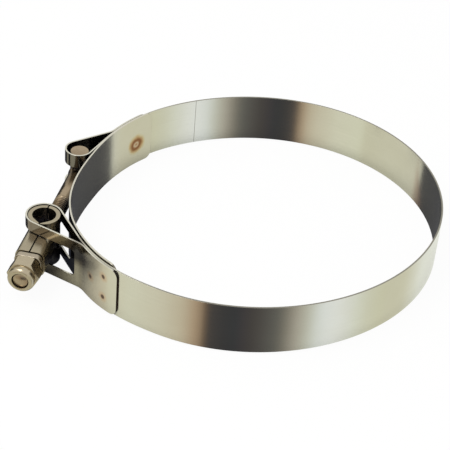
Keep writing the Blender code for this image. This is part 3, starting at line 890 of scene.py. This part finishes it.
def steel(name, colour, roughness, grain, bump, stain_and_shade=0.10, own_crevices=False,
          marks=(), shaded_walls=(), dark_edges=False, cut_end_shade=None, score=None):
    """Bare stainless steel. grain is the noise scale along X, Y and Z of the resting piece.

    marks and shaded_walls list places with their reach and tint: round marks on any face, both weld
    marks and painted shade, and upright columns of painted shade on walls. score is a scored line's
    place and the direction across it.
    """
    material = bpy.data.materials.new(name)
    material.use_nodes = True
    n = Nodes(material.node_tree)
    shader = material.node_tree.nodes["Principled BSDF"]
    shader.inputs["Metallic"].default_value = 1.0
    rest = n.add("ShaderNodeAttribute", attribute_name="rest").outputs["Vector"]
    stretched = n.add("ShaderNodeMapping", {"Vector": rest, "Scale": grain}).outputs["Vector"]
    lines = n.add("ShaderNodeTexNoise", {"Vector": stretched, **GRAIN_NOISE}).outputs["Fac"]
    clouds = n.add("ShaderNodeTexNoise", {"Vector": rest, **CLOUD_NOISE}).outputs["Fac"]
    red, green, blue = colour[:3]
    dark = [channel * (1 - stain_and_shade) for channel in (red, green, blue)] + [1.0]
    handled = [red * (1 - stain_and_shade), green * (1 - HANDLED_GREEN * stain_and_shade),
               blue * (1 - HANDLED_BLUE * stain_and_shade), 1.0]
    base = n.ramp(lines, [(GRAIN_RANGE[0], dark), (GRAIN_RANGE[1], colour)])
    base = n.mix(n.grey(clouds, *CLOUD_RANGE), base, handled)
    smoothest = roughness * (1 - ROUGHNESS_SPREAD)
    roughest = roughness * (1 + ROUGHNESS_SPREAD)
    rough = n.math("ADD", n.grey(lines, smoothest, roughest), n.grey(clouds, *CLOUD_ROUGHNESS))

    def nearest_of(vector, places):
        nearest = None
        for place in places:
            apart = n.vector("DISTANCE", vector, place, "Value")
            nearest = apart if nearest is None else n.math("MINIMUM", nearest, apart)
        return nearest

    for places, extent, tint in marks:
        specks = n.add("ShaderNodeTexNoise", {"Vector": rest, "Scale": MARK_SPECKS / extent,
                                              "Detail": MARK_DETAIL})
        wobble = n.grey(specks.outputs["Fac"], -MARK_WOBBLE * extent, MARK_WOBBLE * extent)
        reach = n.math("DIVIDE", n.math("ADD", nearest_of(rest, places), wobble), extent)
        base = n.mix(1.0, base, n.ramp(reach, tint), "MULTIPLY")
    if shaded_walls or dark_edges:
        normal = n.add("ShaderNodeNewGeometry").outputs["Normal"]
        upward = n.math("ABSOLUTE", n.add("ShaderNodeSeparateXYZ", {"Vector": normal}).outputs["Z"])
        on_wall = n.share(upward, *WALL_OR_EDGE)
    # Darker colour on the edge faces, growing away from the gap
    if dark_edges:
        along_x = n.add("ShaderNodeSeparateXYZ", {"Vector": rest}).outputs["X"]
        far_from_gap = n.share(along_x, *DARK_EDGES_FROM, DARK_EDGES_STRENGTH)
        on_edge = n.math("SUBTRACT", 1.0, on_wall)
        base = n.mix(n.math("MULTIPLY", on_edge, far_from_gap), base, DARK_EDGE)
    # Painted shade: darker upright columns on the walls round the loops
    if shaded_walls:
        flat = n.vector("MULTIPLY", rest, (1, 1, 0))
    for place, extent, tint in shaded_walls:
        reach = n.math("DIVIDE", nearest_of(flat, [place]), extent)
        tinted = n.mix(1.0, base, n.ramp(reach, tint), "MULTIPLY")
        base = n.mix(on_wall, base, tinted)
    if score:
        place, way = score
        apart = n.vector("SUBTRACT", rest, place)
        aside = n.math("ABSOLUTE", n.vector("DOT_PRODUCT", apart, way, "Value"))
        near = n.vector("LENGTH", apart, result="Value")
        line = n.math("SUBTRACT", SCORE_STRENGTH, n.share(aside, *SCORE_HALF_WIDTH, SCORE_STRENGTH))
        here = n.math("LESS_THAN", near, BAND_WIDTH)
        base = n.mix(n.math("MULTIPLY", line, here), base, SCORE)
    # Painted shade on the thin end faces
    if cut_end_shade:
        end = n.add("ShaderNodeAttribute", attribute_name="cut_end_shade").outputs["Fac"]
        base = n.mix(end, base, cut_end_shade)
    # Painted shade: the colour darkens where the surface is hemmed in
    crevice = n.add("ShaderNodeAmbientOcclusion", {"Distance": CREVICE_REACH},
                    samples=CREVICE_SAMPLES, only_local=own_crevices).outputs["AO"]
    base = n.mix(n.share(crevice, *CREVICE_RANGE), CREVICE_SHADE, base)
    relief = n.add("ShaderNodeBump", {"Height": lines, "Strength": bump, "Distance": GRAIN_RELIEF})
    links = material.node_tree.links
    links.new(base, shader.inputs["Base Color"])
    links.new(rough, shader.inputs["Roughness"])
    links.new(relief.outputs["Normal"], shader.inputs["Normal"])
    return material


def mark_cut_ends(piece, track, corner):
    """Mark the thin faces at both ends of a bent strip, the rounded corners included."""
    length = track[-1][2]
    ends = []
    for distance, inside in ((0.0, CUT_END_LOOK_IN), (length, length - CUT_END_LOOK_IN)):
        point = at_distance(track, distance)[0]
        ends.append((point, (at_distance(track, inside)[0] - point).normalized()))
    # The marked faces get a dark colour as painted shade
    marks = piece.data.attributes.new("cut_end_shade", "FLOAT", "FACE")
    for face, mark in zip(piece.data.polygons, marks.data):
        spot = Vector((face.center.x, face.center.y))
        facing = Vector((face.normal.x, face.normal.y))
        for point, inward in ends:
            away = (spot - point).dot(inward)
            aside = abs((spot - point).dot(left_of(inward)))
            in_reach = -CUT_END_BEFORE < away < CUT_END_CORNER_SHARE * corner
            if in_reach and aside < CUT_END_ASIDE and facing.dot(inward) < CUT_END_FACING:
                mark.value = 1.0


def finish_piece(piece, material, node):
    """Give the piece its steel, and hide the imported node that it stands for."""
    rest = piece.data.attributes.new("rest", "FLOAT_VECTOR", "POINT")
    flat = [0.0] * (len(piece.data.vertices) * 3)
    piece.data.vertices.foreach_get("co", flat)
    rest.data.foreach_set("vector", flat)
    piece.data.materials.clear()
    piece.data.materials.append(material)
    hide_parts(node)


# Camera: a pinhole fitted to the photograph's edges of the band
PITCH = math.radians(36.48)
ROLL = math.radians(4.99)
SHIFT = (0.01022, 0.00347, 0.5462)
FOCAL_PIXELS = 1496.0
IMAGE_PIXELS = 450.0
SENSOR = 36.0
CLIP = (0.05, 20)


def make_camera():
    c, s = math.cos(PITCH), math.sin(PITCH)
    cr, sr = math.cos(ROLL), math.sin(ROLL)
    right = Vector((cr, s * sr, c * sr))
    down = Vector((sr, -s * cr, -c * cr))
    ahead = Vector((0, c, -s))
    place = -(right * SHIFT[0] + down * SHIFT[1] + ahead * SHIFT[2])
    data = bpy.data.cameras.new("camera")
    data.sensor_width = SENSOR
    data.lens = FOCAL_PIXELS * SENSOR / IMAGE_PIXELS
    data.clip_start, data.clip_end = CLIP
    camera = bpy.data.objects.new("camera", data)
    columns = Matrix((right, -down, -ahead)).transposed().to_4x4()
    camera.matrix_world = Matrix.Translation(place) @ columns
    bpy.context.scene.collection.objects.link(camera)
    bpy.context.scene.camera = camera


# The room that the polished steel mirrors: plans and outlines of the cards, and their colours
HORIZON = (-0.30, 0.05)
PALE = (0.84, 0.84, 0.70, 1)
REAR_WALL = 0.101
REAR_OUTLINE = ((0.0665, 0.010), (0.0665, -0.600), (-0.029, -0.600), (-0.029, -0.080),
                (-0.048, -0.080), (-0.048, -0.064), (-0.066, -0.072), (-0.103, -0.090),
                (-0.166, -0.125), (-0.400, -0.200), (-0.400, 0.010))
REAR_DARK = (0.104, 0.105, 0.112, 1)
BROWN_OUTLINE = ((-0.029, -0.080), (-0.078, -0.080), (-0.029, -0.600), (-0.078, -0.600))
BROWN_SHADING = [
    (0.0, (0.14, 0.105, 0.095, 1)), (0.45, (0.42, 0.32, 0.27, 1)), (1.0, (0.78, 0.72, 0.60, 1)),
]
SIDE_WALL = 0.012
SIDE_OUTLINE = ((-0.0735, 0.016), (-0.0735, -0.060), (-0.300, -0.060), (-0.300, 0.016))
SIDE_DARK = (0.060, 0.062, 0.070, 1)
BRIGHT_CORNERS = ((0.5, 1.35, 0.30), (1.0, 1.05, 0.30), (1.0, 1.05, 0.65), (0.5, 1.35, 0.65))
BRIGHT = (2.2, 2.2, 2.1, 1)
FRONT_PLAN = ((-0.200, -0.070), (-0.034, -0.115), (0.0, -0.500), (0.206, -0.325),
              (0.318, -0.111), (0.355, -0.020))
FRONT_TOP_SLOPE = 0.25
FRONT_TOP_FROM = 0.080
FRONT_BOTTOM_SLOPE = 1.6

# Colours along the front wall, by distance from its second corner
FRONT_SHADING = [
    (-0.172, (0.93, 0.96, 0.82)), (-0.075, (0.92, 0.93, 0.81)), (-0.038, (0.84, 0.81, 0.69)),
    (-0.019, (0.76, 0.69, 0.56)), (-0.006, (0.58, 0.44, 0.32)), (0.006, (0.22, 0.16, 0.12)),
    (0.022, (0.085, 0.080, 0.085)), (0.097, (0.066, 0.066, 0.074)), (0.386, (0.058, 0.063, 0.074)),
    (0.434, (0.076, 0.071, 0.082)), (0.486, (0.093, 0.086, 0.088)), (0.537, (0.124, 0.119, 0.121)),
    (0.589, (0.169, 0.172, 0.169)), (0.615, (0.255, 0.245, 0.225)), (0.641, (0.40, 0.38, 0.345)),
    (0.667, (0.574, 0.547, 0.506)), (0.693, (0.665, 0.672, 0.616)), (0.719, (0.818, 0.857, 0.829)),
    (0.745, (0.984, 1.056, 1.107)), (0.771, (1.07, 1.135, 1.22)), (0.797, (1.093, 1.149, 1.216)),
    (0.823, (1.077, 1.127, 1.167)), (0.849, (1.024, 1.068, 1.075)), (0.875, (0.972, 1.022, 0.968)),
    (0.925, (0.88, 0.90, 0.78)), (0.985, (0.85, 0.86, 0.70)),
]


def make_world():
    """White to the camera. Metal sees a pale room with one dark side, low towards the front."""
    world = bpy.data.worlds.new("studio")
    bpy.context.scene.world = world
    world.use_nodes = True
    tree = world.node_tree
    tree.nodes.clear()
    n = Nodes(tree)
    way = n.add("ShaderNodeTexCoord").outputs["Generated"]
    parts = n.add("ShaderNodeSeparateXYZ", {"Vector": way}).outputs
    turn = n.math("ARCTAN2", parts["X"], n.math("MULTIPLY", parts["Y"], -1.0))
    share = n.math("ADD", n.math("DIVIDE", turn, math.tau), 0.5)

    def at(degrees):
        return degrees / 360 + 0.5

    low = n.ramp(share, [
        (at(-180), (0.86, 0.86, 0.78, 1)), (at(-60), PALE), (at(-38), (0.72, 0.66, 0.52, 1)),
        (at(-27), (0.55, 0.38, 0.27, 1)), (at(-21), (0.065, 0.065, 0.075, 1)),
        (at(2), (0.062, 0.070, 0.085, 1)), (at(14), (0.13, 0.13, 0.11, 1)),
        (at(28), (0.55, 0.52, 0.44, 1)), (at(40), (1.06, 1.12, 1.16, 1)),
        (at(58), (1.02, 1.06, 1.02, 1)), (at(80), PALE), (at(112), PALE),
        (at(130), (1.00, 1.04, 1.00, 1)), (at(180), (0.86, 0.86, 0.78, 1)),
    ])
    high = n.ramp(n.grey(parts["Z"], 0.0, 1.0), [
        (0.0, (0.80, 0.80, 0.72, 1)), (0.45, (1.0, 0.99, 0.95, 1)), (1.0, (1.05, 1.05, 1.05, 1)),
    ])
    seen = n.mix(n.share(parts["Z"], *HORIZON), low, high)
    path = n.add("ShaderNodeLightPath").outputs
    colour = n.mix(path["Is Glossy Ray"], (0.86, 0.86, 0.84, 1), seen)
    colour = n.mix(path["Is Camera Ray"], colour, (1, 1, 1, 1))
    background = n.add("ShaderNodeBackground", {"Color": colour, "Strength": 1.0})
    output = n.add("ShaderNodeOutputWorld")
    tree.links.new(background.outputs["Background"], output.inputs["Surface"])


FLOOR_SIZE = 3.0
FLOOR_GAP = 0.0001
FLOOR_COLOUR = (0.9, 0.9, 0.9, 1)
FLOOR_SHADOW_SHARE = 0.06
UNDER_BAND = (0.035, 0.037, 0.048, 1)
UNDER_BAND_REACH = 0.030
UNDER_BAND_RANGE = (0.25, 0.60)


def make_floor():
    """Pale to the camera, with the clamp's shadow. Metal sees it only close under the band."""
    mesh = bmesh.new()
    bmesh.ops.create_grid(mesh, x_segments=1, y_segments=1, size=FLOOR_SIZE)
    bmesh.ops.translate(mesh, vec=(0, 0, -BRIDGE_OVERHANG - FLOOR_GAP), verts=mesh.verts)
    floor = made_object("floor", mesh)
    material = bpy.data.materials.new("pale_floor")
    material.use_nodes = True
    tree = material.node_tree
    tree.nodes.clear()
    n = Nodes(tree)
    path = n.add("ShaderNodeLightPath").outputs

    def mixed(share, first, second):
        return n.add("ShaderNodeMixShader", {0: share, 1: first, 2: second}).outputs["Shader"]

    matt = n.add("ShaderNodeBsdfDiffuse", {"Color": FLOOR_COLOUR}).outputs["BSDF"]
    glow = n.add("ShaderNodeEmission", {"Color": (1, 1, 1, 1), "Strength": 1.0}).outputs["Emission"]
    white = mixed(FLOOR_SHADOW_SHARE, glow, matt)
    open_air = n.add("ShaderNodeBsdfTransparent").outputs["BSDF"]
    # Painted shade: to metal, the floor glows dark where it is hemmed in under the clamp, and is
    # clear elsewhere
    shade = n.add("ShaderNodeEmission", {"Color": UNDER_BAND}).outputs["Emission"]
    light_in = n.add("ShaderNodeAmbientOcclusion", {"Distance": UNDER_BAND_REACH},
                     samples=CREVICE_SAMPLES).outputs["AO"]
    mirrored = mixed(n.share(light_in, *UNDER_BAND_RANGE), shade, open_air)
    seen = mixed(path["Is Glossy Ray"], matt, mirrored)
    seen = mixed(path["Is Camera Ray"], seen, white)
    output = n.add("ShaderNodeOutputMaterial")
    tree.links.new(seen, output.inputs["Surface"])
    floor.data.materials.append(material)


def make_card(name, corners, shading, along=()):
    """A glowing card, seen only in the metal.

    With along, the corners are an upper and a lower row, and along gives the place of each pair
    of corners in the shading. Without it, the shading is one colour.
    """
    mesh = bmesh.new()
    verts = [mesh.verts.new(corner) for corner in corners]
    if along:
        count = len(corners) // 2
        for k in range(count - 1):
            mesh.faces.new((verts[k], verts[k + 1], verts[count + k + 1], verts[count + k]))
    else:
        mesh.faces.new(verts)
    card = made_object(name, mesh)
    material = bpy.data.materials.new(name)
    material.use_nodes = True
    tree = material.node_tree
    tree.nodes.clear()
    n = Nodes(tree)
    colour = shading
    if along:
        places = card.data.attributes.new("along", "FLOAT", "POINT")
        for place, value in zip(places.data, list(along) * 2):
            place.value = value
        share = n.add("ShaderNodeAttribute", attribute_name="along").outputs["Fac"]
        colour = n.ramp(share, shading)
    glow = n.add("ShaderNodeEmission", {"Color": colour, "Strength": 1.0})
    output = n.add("ShaderNodeOutputMaterial")
    tree.links.new(glow.outputs["Emission"], output.inputs["Surface"])
    card.data.materials.append(material)
    card.visible_camera = False
    card.visible_diffuse = False
    card.visible_shadow = False
    card.visible_transmission = False


def make_cards():
    """The room that the polished steel mirrors: dark behind, dark then bright in front."""
    make_card("rear_card", [(x, REAR_WALL, z) for x, z in REAR_OUTLINE], REAR_DARK)
    make_card("brown_card", [(x, REAR_WALL, z) for x, z in BROWN_OUTLINE], BROWN_SHADING, (0.0, 1.0))
    make_card("side_card", [(x, SIDE_WALL, z) for x, z in SIDE_OUTLINE], SIDE_DARK)
    make_card("bright_card", BRIGHT_CORNERS, BRIGHT)

    plan = [Vector(point) for point in FRONT_PLAN]
    along = [0.0]
    for here, there in zip(plan, plan[1:]):
        along.append(along[-1] + (there - here).length)
    total = along[-1]
    corner = along[1]
    shading = [((corner + place) / total, (*colour, 1)) for place, colour in FRONT_SHADING]
    tops = [(p.x, p.y, -FRONT_TOP_SLOPE * max(p.length - FRONT_TOP_FROM, 0.0)) for p in plan]
    bottoms = [(p.x, p.y, -FRONT_BOTTOM_SLOPE * p.length) for p in plan]
    make_card("front_wall", tops + bottoms, shading, [place / total for place in along])


LAMP_SIZE = (0.5, 0.35)
LAMP_POWER = 2.2
LAMP_PLACE = (-0.35, -0.25, 0.65)


def make_lamp():
    data = bpy.data.lights.new("soft_box", "AREA")
    data.shape = "RECTANGLE"
    data.size, data.size_y = LAMP_SIZE
    data.energy = LAMP_POWER
    lamp = bpy.data.objects.new("soft_box", data)
    lamp.location = LAMP_PLACE
    lamp.rotation_mode = "QUATERNION"
    lamp.rotation_quaternion = (-Vector(LAMP_PLACE)).to_track_quat("-Z", "Y")
    bpy.context.scene.collection.objects.link(lamp)


bpy.context.scene.view_settings.view_transform = "Standard"
make_camera()
make_world()
make_floor()
make_cards()
make_lamp()

band = build_band()
bridge = build_bridge()
bolt = build_t_bolt()
trunnion = build_trunnion()
washer = build_washer()
nut = build_lock_nut()

strap_marks = [place for place, _ in strap_welds()]
# Painted shade: the dark patch on the strap just before the tube's window, near its top
stain_and_shade = at_distance(TRACK, WINDOWS[0][0] + TUBE_SHADE_INSIDE_WINDOW)[0].to_3d()
stain_and_shade.z = TUBE_SHADE_HEIGHT
scored, outward = band_middle(SCORE_ANGLE)
scored = Vector((scored.x, scored.y, MID_HEIGHT))
across = Vector((-outward.y, outward.x, 0))
neck = HEAD_PLACE + (BOLT_DIRECTION * NECK_SHADED_AT).to_3d()
threads = HEAD_PLACE + (BOLT_DIRECTION * THREAD_SHADED_AT).to_3d()

# The band's dark patch by the tube, its loops' darker walls and its dark cut ends are painted shade;
# its weld marks are heat tint
band_steel = steel(
    "polished_band", (0.66, 0.645, 0.56, 1), 0.13, ROLLED, bump=0.12, stain_and_shade=0.07,
    marks=[(strap_marks, STRAP_WELD_REACH, STRAP_WELD_TINT), ([stain_and_shade], TUBE_SHADE_REACH, TUBE_SHADE)],
    shaded_walls=[(trunnion_axis().to_3d(), NUT_LOOP_REACH, NUT_LOOP_SHADE),
            (head_loop_centre().to_3d(), HEAD_LOOP_REACH, HEAD_LOOP_SHADE)],
    dark_edges=True, cut_end_shade=(0.05, 0.045, 0.04, 1), score=(scored, across))
bridge_steel = steel(
    "polished_bridge", (0.66, 0.64, 0.56, 1), 0.14, ROLLED, bump=0.12, stain_and_shade=0.07,
    marks=[([bridge_weld()[0]], BRIDGE_WELD_REACH, BRIDGE_WELD_TINT)],
    cut_end_shade=(0.22, 0.20, 0.16, 1))
# The bolt's marks are painted shade by the head's loop and by the trunnion
bolt_steel = steel(
    "rolled_bolt", (0.38, 0.30, 0.205, 1), 0.24, DULL_ROLLED, bump=0.06,
    marks=[([neck, threads], BOLT_SHADE_REACH, BOLT_SHADE)])
trunnion_steel = steel("pressed_trunnion", (0.40, 0.355, 0.26, 1), 0.27, PRESSED, bump=0.06)
washer_steel = steel("pressed_washer", (0.42, 0.37, 0.29, 1), 0.28, DULL_ROLLED, bump=0.06)
nut_steel = steel("machined_nut", (0.46, 0.40, 0.29, 1), 0.22, MACHINED, bump=0.06,
                  own_crevices=True)

finish_piece(band, band_steel, "band")
finish_piece(bridge, bridge_steel, "bridge")
finish_piece(bolt, bolt_steel, "t_bolt")
finish_piece(trunnion, trunnion_steel, "trunnion")
finish_piece(washer, washer_steel, "square_washer")
finish_piece(nut, nut_steel, "lock_nut")

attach(bridge, "ring")
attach(bolt, "bolt")
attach(trunnion, "trunnion")
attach(washer, "trunnion")
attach(nut, "nut")
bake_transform(band)
